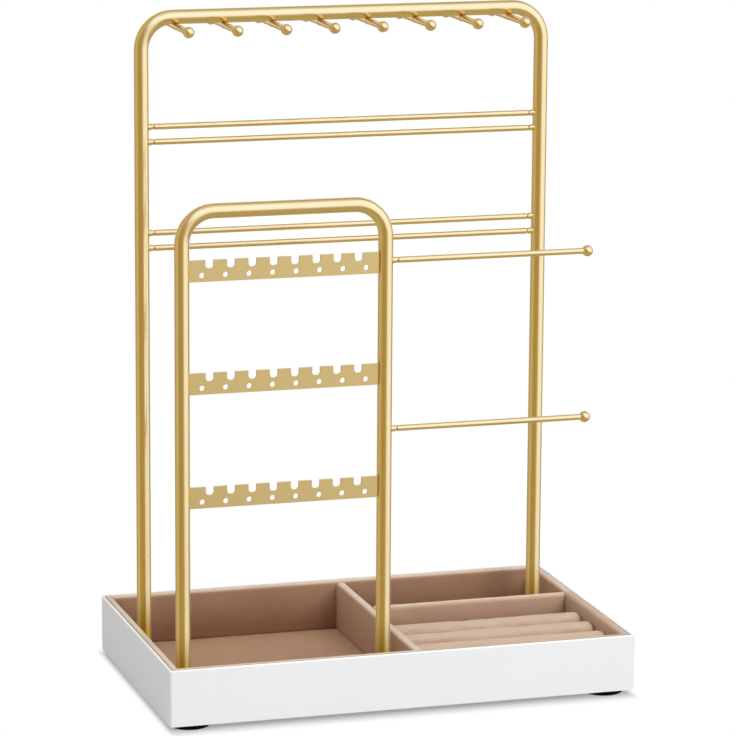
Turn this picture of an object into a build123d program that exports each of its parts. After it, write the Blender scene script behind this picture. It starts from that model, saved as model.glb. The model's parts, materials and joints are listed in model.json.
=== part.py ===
from build123d import *
import os

# A tabletop jewelry stand. A shallow white tray on four rubber feet is lined with velvet and
# parted into an open left compartment, a small rear compartment and a section for rings. Two
# frames of bent tube stand in it. The tall rear frame carries eight pegs and two pairs of thin
# rods for necklaces. The lower front frame carries three punched strips for earrings and two
# arms for bracelets. All sizes are in millimetres. The origin is the middle of the tray, on the
# surface that it stands on, with X along the tray, Y to its back and Z up.

# Tray
TRAY_WIDTH = 240.0
TRAY_DEPTH = 146.5
WALL_HEIGHT = 28.4
WALL_THICKNESS = 1.3
WALL_EDGE_ROUND = 0.6
TRAY_CORNER_ROUND = 1.2
PANEL_THICKNESS = 2.0

# Feet
FOOT_DIAMETER = 20.0
FOOT_HEIGHT = 2.8
FOOT_EDGE_ROUND = 0.5
FOOT_INSET_X = 12.4
FOOT_INSET_Y = 12.0

# Velvet lining and dividers
VELVET_THICKNESS = 0.8
LINING_THICKNESS = 4.3
LINING_DROP = 0.2
LINING_OUTER_ROUND = 0.8
LINING_INNER_ROUND = 2.4
DIVIDER_THICKNESS = 5.0
DIVIDER_DROP = 0.8
DIVIDER_TOP_ROUND = 2.0
LEG_TO_DIVIDER = 4.15
REAR_COMPARTMENT_DEPTH = 48.4

# Ring bars
RING_BAR_COUNT = 3
RING_BAR_WIDTH = 14.0
RING_BAR_DRAWN_IN = 0.5
RING_BAR_DROP = 4.7
RING_BAR_END_ROUND = 2.4
RING_BAR_END_CLEARANCE = 0.3
RING_SLOT = 4.5

# Bent tube of both frames
TUBE_DIAMETER = 7.3
TUBE_WALL = 0.8
BEND_RADIUS = 16.0
FRAME_INSET_X = 14.7
FRAME_INSET_Y = 33.0
NECKLACE_BAR_HEIGHT = 335.1
EARRING_BAR_HEIGHT = 250.5
EARRING_FRAME_SPAN = 103.1
LEG_HOLE_CLEARANCE = 0.3

# Thin rods, pegs and arms, with their welds
ROD_DIAMETER = 3.0
WELD_DIAMETER = 3.6
WELD_LENGTH = 1.0
WELD_CLEARANCE = 0.02
NECK_GAP = 1.1
NECK_WIDTH = 0.9
NECK_DEPTH = 0.45
UPPER_PAIR_DROP = 58.6
LOWER_PAIR_DROP = 112.4
PAIR_SPACING = 7.7
PEG_COUNT = 8
PEG_END_INSET = 17.8
PEG_DIAMETER = 3.3
PEG_SPAN = 52.0
PEG_LET_IN = 0.5
PEG_WELD_DIAMETER = 3.7
PEG_WELD_LENGTH = 5.0
BALL_DIAMETER = 5.7
ARM_LENGTH = 105.2
UPPER_ARM_DROP = 28.4
LOWER_ARM_DROP = 113.1

# Earring strips
STRIP_HEIGHT = 10.6
STRIP_THICKNESS = 1.5
UPPER_STRIP_DROP = 29.3
MIDDLE_STRIP_DROP = 85.1
LOWER_STRIP_DROP = 142.1
NOTCH_COUNT = 8
NOTCH_END_INSET = 13.8
NOTCH_WIDTH = 4.2
NOTCH_DEPTH = 4.2
NOTCH_ROUND = 1.85
HOLE_COUNT = 8
HOLE_END_INSET = 9.95
HOLE_DIAMETER = 2.8
HOLE_HEIGHT = 3.1

# Largest share of a width that the round of one of its edges may take
ROUND_SHARE = 0.475

# Fasteners under the legs
BOLT_DIAMETER = 4.0
BOLT_LENGTH = 12.0
BOLT_HEAD_DIAMETER = 9.0
BOLT_HEAD_CHAMFER = 0.4
BOLT_FLOOR_CLEARANCE = 0.3
SOCKET_ACROSS_FLATS = 2.5
SOCKET_DEPTH = 1.0
BOLT_HOLE_CLEARANCE = 0.2
THREAD_CLEARANCE = 0.05
WASHER_DIAMETER = 12.0
WASHER_THICKNESS = 0.6
INSERT_LENGTH = 10.0
INSERT_CLEARANCE = 0.05

# Levels above the surface that the stand rests on
panel_level = FOOT_HEIGHT + PANEL_THICKNESS
velvet_level = panel_level + VELVET_THICKNESS
rim_level = FOOT_HEIGHT + WALL_HEIGHT
bolt_head_height = FOOT_HEIGHT - WASHER_THICKNESS - BOLT_FLOOR_CLEARANCE
necklace_rod_levels = [
    NECKLACE_BAR_HEIGHT - drop + side * PAIR_SPACING / 2
    for drop in (UPPER_PAIR_DROP, LOWER_PAIR_DROP)
    for side in (1, -1)
]

# Room inside the walls, and inside the lining
panel_width = TRAY_WIDTH - 2 * WALL_THICKNESS
panel_depth = TRAY_DEPTH - 2 * WALL_THICKNESS
lined_width = panel_width - 2 * LINING_THICKNESS
lined_depth = panel_depth - 2 * LINING_THICKNESS

# Places of the legs
tube_radius = TUBE_DIAMETER / 2
bore_radius = tube_radius - TUBE_WALL
leg_x = TRAY_WIDTH / 2 - FRAME_INSET_X
necklace_y = TRAY_DEPTH / 2 - FRAME_INSET_Y
earring_y = -necklace_y
earring_leg_x = -leg_x + EARRING_FRAME_SPAN
leg_places = [
    (-leg_x, necklace_y),
    (leg_x, necklace_y),
    (-leg_x, earring_y),
    (earring_leg_x, earring_y),
]

# Places of the dividers and of the section at their right, in front of the cross divider
main_divider_x = earring_leg_x + tube_radius + LEG_TO_DIVIDER + DIVIDER_THICKNESS / 2
right_section_start = main_divider_x + DIVIDER_THICKNESS / 2
right_section_length = lined_width / 2 - right_section_start
right_section_x = right_section_start + right_section_length / 2
cross_divider_y = lined_depth / 2 - REAR_COMPARTMENT_DEPTH - DIVIDER_THICKNESS / 2
ring_section_y = (cross_divider_y - DIVIDER_THICKNESS / 2 - lined_depth / 2) / 2


def centred(count, pitch):
    """Places of a row of things, evenly spaced about zero."""
    return [(index - (count - 1) / 2) * pitch for index in range(count)]


def spread(count, span, end_inset):
    """Places of a row between two legs, with its ends a set distance from their axes."""
    return centred(count, (span - 2 * end_inset) / (count - 1))


def group(solids):
    """Separate solids that share one node."""
    return Compound(children=solids)


def around_tray(board, width, depth):
    """Four copies of a board set round a rectangle, each with its outer face outwards."""
    return {
        "front": Pos(0, -depth / 2) * board(width),
        "right": Pos(width / 2, 0) * Rot(0, 0, 90) * board(depth),
        "back": Pos(0, depth / 2) * Rot(0, 0, 180) * board(width),
        "left": Pos(-width / 2, 0) * Rot(0, 0, -90) * board(depth),
    }


def mitred_board(length, thickness, bottom, top, outer_round, inner_round):
    """A board along X with its outer face at Y = 0, cut at 45 degrees at both ends."""
    profile = Pos(thickness / 2, (bottom + top) / 2) * Rectangle(thickness, top - bottom)
    outer_top, inner_top = profile.vertices().group_by(Axis.Y)[-1].sort_by(Axis.X)
    profile = fillet(inner_top, min(inner_round, 2 * ROUND_SHARE * thickness - outer_round))
    outer_top = profile.vertices().group_by(Axis.X)[0].sort_by(Axis.Y)[-1]
    profile = fillet(outer_top, min(outer_round, ROUND_SHARE * thickness))
    board = extrude(Plane.YZ * profile, length / 2, both=True)
    reach = 2 * thickness
    wedge = Polygon(
        (-length / 2 - reach, -reach),
        (length / 2 + reach, -reach),
        (length / 2 - reach, reach),
        (-length / 2 + reach, reach),
        align=None,
    )
    return board & extrude(wedge, top)


def tray_walls():
    """Four mitred boards whose corners share one rounded outline."""
    outline = extrude(RectangleRounded(TRAY_WIDTH, TRAY_DEPTH, TRAY_CORNER_ROUND), rim_level)

    def board(length):
        edge = WALL_EDGE_ROUND
        return mitred_board(length, WALL_THICKNESS, FOOT_HEIGHT, rim_level, edge, edge)

    walls = around_tray(board, TRAY_WIDTH, TRAY_DEPTH)
    return {f"tray_{side}_wall": wall & outline for side, wall in walls.items()}


def bottom_panel():
    """The panel between the walls, with a bolt hole under each leg."""
    panel = Pos(0, 0, FOOT_HEIGHT + PANEL_THICKNESS / 2) * Box(
        panel_width, panel_depth, PANEL_THICKNESS
    )
    hole = Cylinder(BOLT_DIAMETER / 2 + BOLT_HOLE_CLEARANCE, 3 * PANEL_THICKNESS)
    return panel - [Pos(x, y, FOOT_HEIGHT) * hole for x, y in leg_places]


def velvet_floor():
    """The velvet sheet on the panel, with a hole round each leg."""
    sheet = Pos(0, 0, panel_level + VELVET_THICKNESS / 2) * Box(
        panel_width, panel_depth, VELVET_THICKNESS
    )
    hole = Cylinder(tube_radius + LEG_HOLE_CLEARANCE, 3 * VELVET_THICKNESS)
    return sheet - [Pos(x, y, panel_level) * hole for x, y in leg_places]


def linings():
    """Four padded boards that stand on the velvet against the walls."""

    def board(length):
        top = rim_level - LINING_DROP
        rounds = LINING_OUTER_ROUND, LINING_INNER_ROUND
        return mitred_board(length, LINING_THICKNESS, velvet_level, top, *rounds)

    boards = around_tray(board, panel_width, panel_depth)
    return {f"lining_{side}": solid for side, solid in boards.items()}


def divider(length):
    """A velvet-covered partition along X with a softly rounded top."""
    height = rim_level - DIVIDER_DROP - velvet_level
    profile = Pos(0, height / 2) * Rectangle(DIVIDER_THICKNESS, height)
    top_corners = profile.vertices().group_by(Axis.Y)[-1]
    profile = fillet(top_corners, min(DIVIDER_TOP_ROUND, ROUND_SHARE * DIVIDER_THICKNESS))
    return extrude(Plane.YZ * profile, length / 2, both=True)


def dividers():
    """The main divider from front to back, and the cross divider to its right."""
    return {
        "main_divider": Pos(main_divider_x, 0, velvet_level) * Rot(0, 0, 90) * divider(lined_depth),
        "cross_divider": Pos(right_section_x, cross_divider_y, velvet_level)
        * divider(right_section_length),
    }


def ring_bar():
    """A padded bar along X: half-round crown, sides drawn in to the foot, soft ends."""
    radius = RING_BAR_WIDTH / 2
    foot = radius - RING_BAR_DRAWN_IN
    shoulder = rim_level - RING_BAR_DROP - velvet_level - radius
    crown = ThreePointArc((radius, shoulder), (0, shoulder + radius), (-radius, shoulder))
    left_side = TangentArc((-radius, shoulder), (-foot, 0), tangent=(0, -1))
    base = Line((-foot, 0), (foot, 0))
    right_side = TangentArc((radius, shoulder), (foot, 0), tangent=(0, -1))
    profile = make_face([crown, left_side, base, right_side])
    length = right_section_length - 2 * RING_BAR_END_CLEARANCE
    bar = extrude(Plane.YZ * profile, length / 2, both=True)
    ends = bar.edges().group_by(Axis.X)
    soft_edges = [edge for end in (ends[0], ends[-1]) for edge in end if edge.bounding_box().max.Z > 0.1]
    return fillet(soft_edges, min(RING_BAR_END_ROUND, ROUND_SHARE * RING_BAR_WIDTH))


def ring_bars():
    """The bars from the rear one to the front one, centred in the ring section."""
    names = ["rear", "middle", "front"] + [f"extra_{index}" for index in range(RING_BAR_COUNT - 3)]
    rows = centred(RING_BAR_COUNT, RING_BAR_WIDTH + RING_SLOT)
    bar = ring_bar()
    return {
        f"ring_bar_{name}": Pos(right_section_x, ring_section_y + y, velvet_level) * bar
        for name, y in zip(names, reversed(rows))
    }


def rubber_feet():
    """Four round feet under the panel, rounded where they meet the table."""
    foot = Pos(0, 0, FOOT_HEIGHT / 2) * Cylinder(FOOT_DIAMETER / 2, FOOT_HEIGHT)
    foot = fillet(foot.edges().group_by(Axis.Z)[0], min(FOOT_EDGE_ROUND, ROUND_SHARE * FOOT_HEIGHT))
    foot_x = TRAY_WIDTH / 2 - FOOT_INSET_X
    foot_y = TRAY_DEPTH / 2 - FOOT_INSET_Y
    return group([Pos(x, y) * foot for x in (-foot_x, foot_x) for y in (-foot_y, foot_y)])


def bent_tube(left_x, right_x, y, bar_level):
    """A hollow tube from one leg's foot over the top bar to the other leg's foot."""
    path = FilletPolyline(
        (left_x, y, panel_level),
        (left_x, y, bar_level),
        (right_x, y, bar_level),
        (right_x, y, panel_level),
        radius=BEND_RADIUS,
    )
    foot = Plane(origin=path @ 0, z_dir=path % 0)
    outside = sweep(foot * Circle(tube_radius), path=path)
    inside = sweep(foot * Circle(bore_radius), path=path)
    return outside - inside


def leg_space(x, y):
    """The room that a leg takes, used to cope what is welded to it."""
    height = 2 * NECKLACE_BAR_HEIGHT
    return Pos(x, y, 0) * Cylinder(tube_radius + WELD_CLEARANCE, height)


def welded_end(rod_radius):
    """Outline of a rod's end from inside the leg: weld collar, then the turned neck."""
    weld_radius = WELD_DIAMETER / 2
    weld_end = tube_radius + WELD_LENGTH
    neck_start = weld_end + NECK_GAP
    return [
        (bore_radius, 0),
        (bore_radius, weld_radius),
        (tube_radius, weld_radius),
        (weld_end, rod_radius),
        (neck_start, rod_radius),
        (neck_start + NECK_WIDTH / 2, rod_radius - NECK_DEPTH),
        (neck_start + NECK_WIDTH, rod_radius),
    ]


def half_rod(length):
    """A rod along +X from a leg's axis, welded at the leg, with a plain end."""
    radius = ROD_DIAMETER / 2
    outline = Polyline(*welded_end(radius), (length, radius), (length, 0), close=True)
    return revolve(make_face(outline), Axis.X)


def cross_rod(level):
    """A thin rod between the necklace frame's legs, welded at both."""
    half = half_rod(leg_x)
    rod = Pos(-leg_x, 0) * half + Pos(leg_x, 0) * Rot(0, 0, 180) * half
    rod = Pos(0, necklace_y, level) * rod
    return rod - [leg_space(x, necklace_y) for x in (-leg_x, leg_x)]


def bracelet_arm(drop):
    """A rod from the earring frame's right leg to the right, with a ball at its end."""
    arm = half_rod(ARM_LENGTH) + Pos(ARM_LENGTH, 0) * Sphere(BALL_DIAMETER / 2)
    arm = Pos(earring_leg_x, earring_y, EARRING_BAR_HEIGHT - drop) * arm
    return arm - leg_space(earring_leg_x, earring_y)


def necklace_peg(x):
    """A thin rod notched over the underside of the top bar, with a ball at each end."""
    rod = Rot(90, 0, 0) * Cylinder(PEG_DIAMETER / 2, PEG_SPAN)
    balls = [Pos(0, end * PEG_SPAN / 2) * Sphere(BALL_DIAMETER / 2) for end in (-1, 1)]
    weld = [
        Rot(-90 * end, 0, 0)
        * Pos(0, 0, PEG_WELD_LENGTH / 4)
        * Cone(PEG_WELD_DIAMETER / 2, PEG_DIAMETER / 2, PEG_WELD_LENGTH / 2)
        for end in (-1, 1)
    ]
    peg_level = NECKLACE_BAR_HEIGHT - tube_radius - PEG_DIAMETER / 2 + PEG_LET_IN
    bar_space = Pos(x, necklace_y, NECKLACE_BAR_HEIGHT) * Rot(0, 90, 0) * Cylinder(
        tube_radius + WELD_CLEARANCE, 2 * PEG_WELD_DIAMETER
    )
    return Pos(x, necklace_y, peg_level) * (rod + balls + weld) - bar_space


def earring_strip(drop):
    """A flat strip between the earring frame's legs, notched on top and punched below."""
    middle_x = (earring_leg_x - leg_x) / 2
    notches = spread(NOTCH_COUNT, EARRING_FRAME_SPAN, NOTCH_END_INSET)
    holes = spread(HOLE_COUNT, EARRING_FRAME_SPAN, HOLE_END_INSET)
    strip = Rectangle(EARRING_FRAME_SPAN, STRIP_HEIGHT)
    notch = RectangleRounded(NOTCH_WIDTH, 2 * NOTCH_DEPTH, min(NOTCH_ROUND, ROUND_SHARE * NOTCH_WIDTH))
    strip -= [Pos(x, STRIP_HEIGHT / 2) * notch for x in notches]
    hole_y = HOLE_HEIGHT - STRIP_HEIGHT / 2
    strip -= [Pos(x, hole_y) * Circle(HOLE_DIAMETER / 2) for x in holes]
    solid = extrude(Plane.XZ * strip, STRIP_THICKNESS / 2, both=True)
    solid = Pos(middle_x, earring_y, EARRING_BAR_HEIGHT - drop) * solid
    return solid - [leg_space(x, earring_y) for x in (-leg_x, earring_leg_x)]


def frame_inserts():
    """A threaded insert in the foot of each leg."""
    insert = Cylinder(bore_radius - INSERT_CLEARANCE, INSERT_LENGTH)
    insert -= Cylinder(BOLT_DIAMETER / 2 + THREAD_CLEARANCE, INSERT_LENGTH)
    middle = panel_level + INSERT_LENGTH / 2
    return group([Pos(x, y, middle) * insert for x, y in leg_places])


def frame_bolts():
    """A low-headed bolt up through the panel into each leg."""
    head = Pos(0, 0, -bolt_head_height / 2) * Cylinder(BOLT_HEAD_DIAMETER / 2, bolt_head_height)
    head = chamfer(head.edges().group_by(Axis.Z)[0], BOLT_HEAD_CHAMFER)
    socket = RegularPolygon(SOCKET_ACROSS_FLATS / 2, 6, major_radius=False)
    head -= extrude(Pos(0, 0, -bolt_head_height) * socket, SOCKET_DEPTH)
    bolt = head + Pos(0, 0, BOLT_LENGTH / 2) * Cylinder(BOLT_DIAMETER / 2, BOLT_LENGTH)
    return group([Pos(x, y, FOOT_HEIGHT - WASHER_THICKNESS) * bolt for x, y in leg_places])


def frame_washers():
    """A washer between each bolt head and the panel."""
    washer = Cylinder(WASHER_DIAMETER / 2, WASHER_THICKNESS)
    washer -= Cylinder(BOLT_DIAMETER / 2 + BOLT_HOLE_CLEARANCE, WASHER_THICKNESS)
    middle = FOOT_HEIGHT - WASHER_THICKNESS / 2
    return group([Pos(x, y, middle) * washer for x, y in leg_places])


nodes = {
    **tray_walls(),
    "tray_bottom_panel": bottom_panel(),
    "rubber_feet": rubber_feet(),
    "velvet_floor": velvet_floor(),
    **linings(),
    **dividers(),
    **ring_bars(),
    "necklace_frame": bent_tube(-leg_x, leg_x, necklace_y, NECKLACE_BAR_HEIGHT),
    "earring_frame": bent_tube(-leg_x, earring_leg_x, earring_y, EARRING_BAR_HEIGHT),
    "earring_strip_upper": earring_strip(UPPER_STRIP_DROP),
    "earring_strip_middle": earring_strip(MIDDLE_STRIP_DROP),
    "earring_strip_lower": earring_strip(LOWER_STRIP_DROP),
    "bracelet_arm_upper": bracelet_arm(UPPER_ARM_DROP),
    "bracelet_arm_lower": bracelet_arm(LOWER_ARM_DROP),
    "frame_inserts": frame_inserts(),
    "frame_bolts": frame_bolts(),
    "frame_washers": frame_washers(),
}
for number, level in enumerate(necklace_rod_levels, 1):
    nodes[f"cross_rod_{number}"] = cross_rod(level)
for number, x in enumerate(spread(PEG_COUNT, 2 * leg_x, PEG_END_INSET), 1):
    nodes[f"necklace_peg_{number}"] = necklace_peg(x)

os.makedirs("parts", exist_ok=True)
for name, solid in nodes.items():
    solid.label = name
    export_step(solid, f"parts/{name}.step")
print(len(nodes), "nodes written")
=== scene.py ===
# %% [markdown]
# # A jewelry stand in a white studio
#
# The stand is a shallow white tray lined with beige velvet, with two frames of gold-plated tube
# standing in it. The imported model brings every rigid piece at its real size. This lesson gives
# those pieces their finish and makes the velvet pieces anew, because cloth has a softness that
# a plain solid lacks.

# %% Load the model
import json
import math
import bpy
import numpy as np
from mathutils import Matrix, Vector


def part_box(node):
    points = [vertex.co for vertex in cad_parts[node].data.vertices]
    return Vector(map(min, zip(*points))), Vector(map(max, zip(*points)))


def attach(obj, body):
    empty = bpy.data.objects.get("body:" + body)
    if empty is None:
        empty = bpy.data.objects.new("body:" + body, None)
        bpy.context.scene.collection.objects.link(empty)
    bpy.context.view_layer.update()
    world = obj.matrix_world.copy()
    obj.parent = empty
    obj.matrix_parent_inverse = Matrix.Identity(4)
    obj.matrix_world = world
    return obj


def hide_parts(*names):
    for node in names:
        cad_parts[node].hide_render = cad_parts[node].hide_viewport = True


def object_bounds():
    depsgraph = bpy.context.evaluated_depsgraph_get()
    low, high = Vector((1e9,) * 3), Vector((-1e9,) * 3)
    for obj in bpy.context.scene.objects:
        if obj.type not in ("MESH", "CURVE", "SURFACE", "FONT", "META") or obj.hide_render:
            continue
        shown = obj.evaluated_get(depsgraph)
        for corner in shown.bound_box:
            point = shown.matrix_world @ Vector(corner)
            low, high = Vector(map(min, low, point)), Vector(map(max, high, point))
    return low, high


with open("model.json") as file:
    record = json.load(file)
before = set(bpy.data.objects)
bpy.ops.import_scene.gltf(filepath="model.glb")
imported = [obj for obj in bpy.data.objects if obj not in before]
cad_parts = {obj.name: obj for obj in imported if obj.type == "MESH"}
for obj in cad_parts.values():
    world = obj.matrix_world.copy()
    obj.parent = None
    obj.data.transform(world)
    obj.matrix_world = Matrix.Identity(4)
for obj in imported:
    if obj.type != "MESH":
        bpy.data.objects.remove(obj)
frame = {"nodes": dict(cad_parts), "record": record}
nodes = frame["nodes"]
cad_low, cad_high = [list(corner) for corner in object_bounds()]
MM = 0.001


def in_mm(low, high):
    """Width, depth and height of a box in millimetres."""
    return [round((end - start) / MM, 1) for start, end in zip(low, high)]


print(len(nodes), "pieces, overall size in mm:", in_mm(cad_low, cad_high))

# %% [markdown]
# Every size that a new piece needs is read from the model. The tray's inside, the level of the
# velvet, the height of the rim and the places of the linings and dividers come from the boxes
# of the pieces that make them.

# %% Read the sizes


def span(node, axis):
    """Lowest and highest coordinate of a piece along X (0), Y (1) or Z (2)."""
    low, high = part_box(node)
    return low[axis], high[axis]


rim_level = span("tray_front_wall", 2)[1]
velvet_top = span("velvet_floor", 2)[1]
inside_x = span("tray_bottom_panel", 0)[1]
inside_y = span("tray_bottom_panel", 1)[1]
left_outer, left_face = span("lining_left", 0)
front_face = span("lining_front", 1)[1]
lining_thickness = left_face - left_outer
main_low, main_high = span("main_divider", 0)
cross_low, cross_high = span("cross_divider", 1)
print("rim", round(rim_level / MM, 2), "velvet", round(velvet_top / MM, 2), "mm above the table")

# %% [markdown]
# A material here is a small network of nodes, and much of it is arithmetic on coordinates. One
# class wraps a node's output socket, so that the arithmetic can be written as an expression.
# Each operator adds one Math node. Every node is added by a single function that takes its
# type, settings and sockets, so that a material reads as a short list of steps.

# %% Write shader maths as expressions


class Wire:
    """An output socket of a material's node tree that can be used in arithmetic."""

    def __init__(self, tree, socket):
        self.tree = tree
        self.socket = socket

    def math(self, operation, *values):
        """A Math node on this wire and up to two further values."""
        sockets = {f"_{number}": value for number, value in enumerate((self, *values))}
        return make_node(self.tree, "Math", {"operation": operation}, **sockets)

    def __add__(self, other):
        return self.math("ADD", other)

    def __mul__(self, other):
        return self.math("MULTIPLY", other)

    def __sub__(self, other):
        return self.math("SUBTRACT", other)

    def __rsub__(self, other):
        return self * -1.0 + other

    def __pow__(self, other):
        return self.math("POWER", other)

    def __abs__(self):
        return self.math("ABSOLUTE")

    __radd__ = __add__
    __rmul__ = __mul__


def connect(socket, value):
    """Links a wire to a socket, or sets the socket to a plain value."""
    if isinstance(value, Wire):
        value.tree.links.new(value.socket, socket)
    else:
        socket.default_value = value


def make_node(tree, kind, settings=None, output=0, **inputs):
    """A node of a kind, such as TexNoise. Settings come first and then the sockets.

    A socket is named, with _ for a space, or numbered after a _. The wire that comes back is
    the output of the given name or number, where the node has outputs.
    """
    step = tree.nodes.new("ShaderNode" + kind)
    for name, value in (settings or {}).items():
        setattr(step, name, value)
    for name, value in inputs.items():
        key = int(name[1:]) if name[0] == "_" else name.replace("_", " ")
        connect(step.inputs[key], value)
    return Wire(tree, step.outputs[output]) if len(step.outputs) else None


print("shader maths ready")

# %% Add the nodes that most finishes use


def components(vector):
    """The X, Y and Z of a vector as three wires."""
    separate = make_node(vector.tree, "SeparateXYZ", Vector=vector).socket.node
    return [Wire(vector.tree, socket) for socket in separate.outputs]


def mix_colour(factor, first, second):
    """A blend of two colours by a factor, which the node holds between 0 and 1."""
    colours = [colour if isinstance(colour, Wire) else (*colour, 1.0) for colour in (first, second)]
    settings = {"data_type": "RGBA"}
    return make_node(factor.tree, "Mix", settings, 2, _0=factor, _6=colours[0], _7=colours[1])


def ramp_up(value, start, end):
    """A smooth rise from 0 to 1 as a value goes from start to end."""
    settings = {"interpolation_type": "SMOOTHSTEP"}
    return make_node(value.tree, "MapRange", settings, Value=value, From_Min=start, From_Max=end)


print("components, blends and smooth rises ready")

# %% [markdown]
# Every finish starts from Blender's principled shader. What changes over a surface is worked
# out from its place on the stand, so nothing slides when the view changes. Noise gives clouds
# and grain, and a bump bends the surface's normal as a real unevenness would.

# %% Start a finish


def new_material(name, colour, roughness, **constants):
    """A principled material with constant sockets set, and its shader and coordinates."""
    material = bpy.data.materials.new(name)
    material.use_nodes = True
    tree = material.node_tree
    shader = tree.nodes["Principled BSDF"]
    shader.inputs["Base Color"].default_value = (*colour, 1.0)
    shader.inputs["Roughness"].default_value = roughness
    for socket, value in constants.items():
        shader.inputs[socket.replace("_", " ")].default_value = value
    place = make_node(tree, "TexCoord", output="Object")
    return material, shader, place


def noise(place, size, detail=3.0, roughness=0.55):
    """Cloudy noise whose lumps are about a given size in metres."""
    scale = 1.0 / size
    return make_node(
        place.tree, "TexNoise", Vector=place, Scale=scale, Detail=detail, Roughness=roughness
    )


def bump(shader, height, depth, strength=1.0, under=None):
    """Bends the surface's normal as if it rose by height times depth in metres."""
    sockets = {"Height": height, "Distance": depth, "Strength": strength}
    if under is not None:
        sockets["Normal"] = under
    lifted = make_node(height.tree, "Bump", **sockets)
    connect(shader.inputs["Normal"], lifted)
    return lifted


print("materials, noise and bumps ready")

# %% [markdown]
# The frames, rods, pegs and strips are steel with a pale gold plating and a satin sheen. A
# satin metal is a metallic shader that is a little rough. Plating is never quite even, so two
# noises vary the roughness and the tone a little, and a very fine bump breaks the reflections
# up as brushing before plating does. Close to the velvet the colour is darkened to a deeper olive
# over the lowest few centimetres of each leg: a painted reflection of the brown cloth, which the
# metal's real reflections leave out. The stamped strips are rougher and a little deeper in tone
# than the tube.

# %% Pale gold plating
# Heights and share of the painted reflection of the velvet in the colour of the legs.
reflection_full_below = velvet_top + 12.0 * MM
reflection_gone_above = velvet_top + 40.0 * MM
reflection_tone_share = (0.52, 0.42, 0.12)  # of the plating's red, green and blue near the velvet


def gold_plating(name, warm, pale, roughness):
    """Satin gold with faint clouding and fine brushing, and a painted velvet reflection low down.
    """
    material, shader, place = new_material(name, warm, roughness, Metallic=1.0)
    clouds = noise(place, 20.0 * MM, detail=4.0)
    grain = noise(place, 0.4 * MM, detail=2.0)
    height = components(place)[2]
    # Painted reflection: near the velvet the colour turns to the deeper olive tone.
    painted_velvet_reflection = 1.0 - ramp_up(height, reflection_full_below, reflection_gone_above)
    deep = [colour * share for colour, share in zip(warm, reflection_tone_share)]
    plating = mix_colour(clouds, warm, pale)
    connect(shader.inputs["Base Color"], mix_colour(painted_velvet_reflection, plating, deep))
    connect(shader.inputs["Roughness"], roughness + 0.05 * clouds + 0.02 * grain)
    bump(shader, grain, 0.002 * MM, 0.2)
    return material


gold = gold_plating("pale_gold_plating", (0.82, 0.59, 0.25), (0.83, 0.62, 0.30), 0.19)
strip_gold = gold_plating("stamped_gold_plating", (0.72, 0.50, 0.18), (0.74, 0.53, 0.21), 0.30)
print("made", gold.name, "and", strip_gold.name)

# %% [markdown]
# The tray's boards are lacquered white with a soft satin gloss. Sprayed lacquer shows a slight
# orange-peel ripple a millimetre or two across, which only the bump needs. Along the rounded rim
# the colour rises to near white as a painted highlight.

# %% White lacquer
face_tones = ((0.795, 0.80, 0.81), (0.82, 0.825, 0.835))
# Colour of the painted highlight along the rim.
rim_highlight_tone = (0.97, 0.97, 0.965)


def white_lacquer():
    """Satin white lacquer with a faint sprayed ripple and a painted highlight along the rim."""
    gloss = {"Specular_IOR_Level": 0.3, "Coat_Weight": 0.1, "Coat_Roughness": 0.25}
    start_tone = (0.80, 0.80, 0.80)
    material, shader, place = new_material("white_satin_lacquer", start_tone, 0.42, **gloss)
    ripple = noise(place, 1.6 * MM, detail=2.0)
    cast = noise(place, 45.0 * MM, detail=2.0)
    height = components(place)[2]
    # Painted highlight: the colour rises to near white over the top of the rim.
    rim_highlight_mask = ramp_up(height, rim_level - 0.9 * MM, rim_level - 0.3 * MM)
    face = mix_colour(cast, *face_tones)
    connect(shader.inputs["Base Color"], mix_colour(rim_highlight_mask, face, rim_highlight_tone))
    connect(shader.inputs["Roughness"], 0.38 + 0.10 * ripple)
    bump(shader, ripple, 0.02 * MM, 0.5)
    return material


lacquer = white_lacquer()
print("made", lacquer.name)

# %% [markdown]
# The feet are black rubber, and the hidden hardware is a brass insert in each leg with a
# zinc-plated bolt and washer. They take little room, but they are seen when the stand is
# turned over, so each has its own grain.

# %% Rubber, brass and zinc
rubber_tones = ((0.001,) * 3, (0.003,) * 3)
turning_pitch = 0.3 * MM  # from one turning mark to the next


def foot_rubber():
    """Matte black rubber with a fine moulded grain."""
    material, shader, place = new_material(
        "black_foot_rubber", (0.002, 0.002, 0.002), 0.8, Specular_IOR_Level=0.05
    )
    grain = noise(place, 0.6 * MM, detail=3.0)
    connect(shader.inputs["Base Color"], mix_colour(grain, *rubber_tones))
    connect(shader.inputs["Roughness"], 0.65 + 0.2 * grain)
    bump(shader, grain, 0.05 * MM, 0.6)
    return material


def turned_metal(name, dark, bright, roughness):
    """Bare or plated hardware with fine turning marks: a sine of the height."""
    material, shader, place = new_material(name, bright, roughness, Metallic=1.0)
    height = components(place)[2]
    marks = (height * (2.0 * math.pi / turning_pitch)).math("SINE") * 0.5 + 0.5
    stain = noise(place, 4.0 * MM)
    connect(shader.inputs["Base Color"], mix_colour(stain, dark, bright))
    connect(shader.inputs["Roughness"], roughness + 0.15 * stain)
    bump(shader, marks, 0.01 * MM, 0.4)
    return material


rubber = foot_rubber()
brass = turned_metal("turned_brass", (0.52, 0.35, 0.13), (0.70, 0.50, 0.22), 0.28)
zinc = turned_metal("zinc_plated_steel", (0.42, 0.43, 0.44), (0.60, 0.61, 0.62), 0.32)
print("made", rubber.name, brass.name, zinc.name)
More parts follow.
